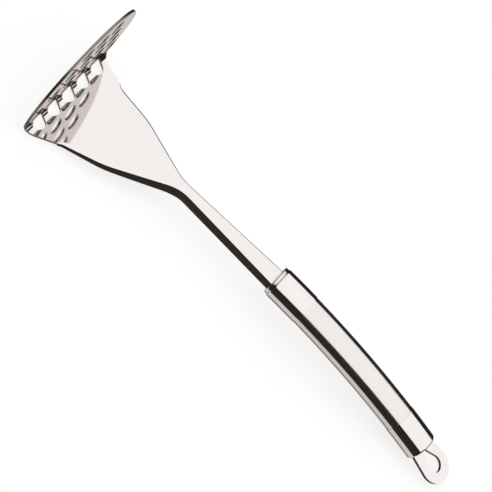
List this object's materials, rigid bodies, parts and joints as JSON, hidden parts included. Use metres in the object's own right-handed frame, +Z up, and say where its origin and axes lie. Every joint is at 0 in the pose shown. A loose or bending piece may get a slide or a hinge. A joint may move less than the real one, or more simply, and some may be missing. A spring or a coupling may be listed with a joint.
{
  "type": "potato masher",
  "caption": "Flat perforated masher head folded from the fan of its own steel stem, in a gently curved oval hollow handle with a teardrop hanging eye.",
  "frame": {"origin": "on the surface the tool lies on, under the middle of its bounding box", "axes": "+X from the mashing plate to the hanging eye, +Y sideways across the tool, +Z up. The tool lies on its back: the plate stands up and the fan's food side faces up."},
  "size_m": [0.2996, 0.085, 0.0659],
  "materials": {
    "blade_steel": "bright polished stainless steel sheet",
    "polished_steel": "bright polished stainless steel",
    "satin_steel": "fine satin stainless steel"
  },
  "bodies": {
    "root": {"blade": "blade_steel", "front_plug": "polished_steel", "front_ferrule": "polished_steel", "grip_tube": "satin_steel", "rear_cap": "polished_steel", "rear_plug": "polished_steel", "hanging_eye": "polished_steel"}
  },
  "joints": []
}
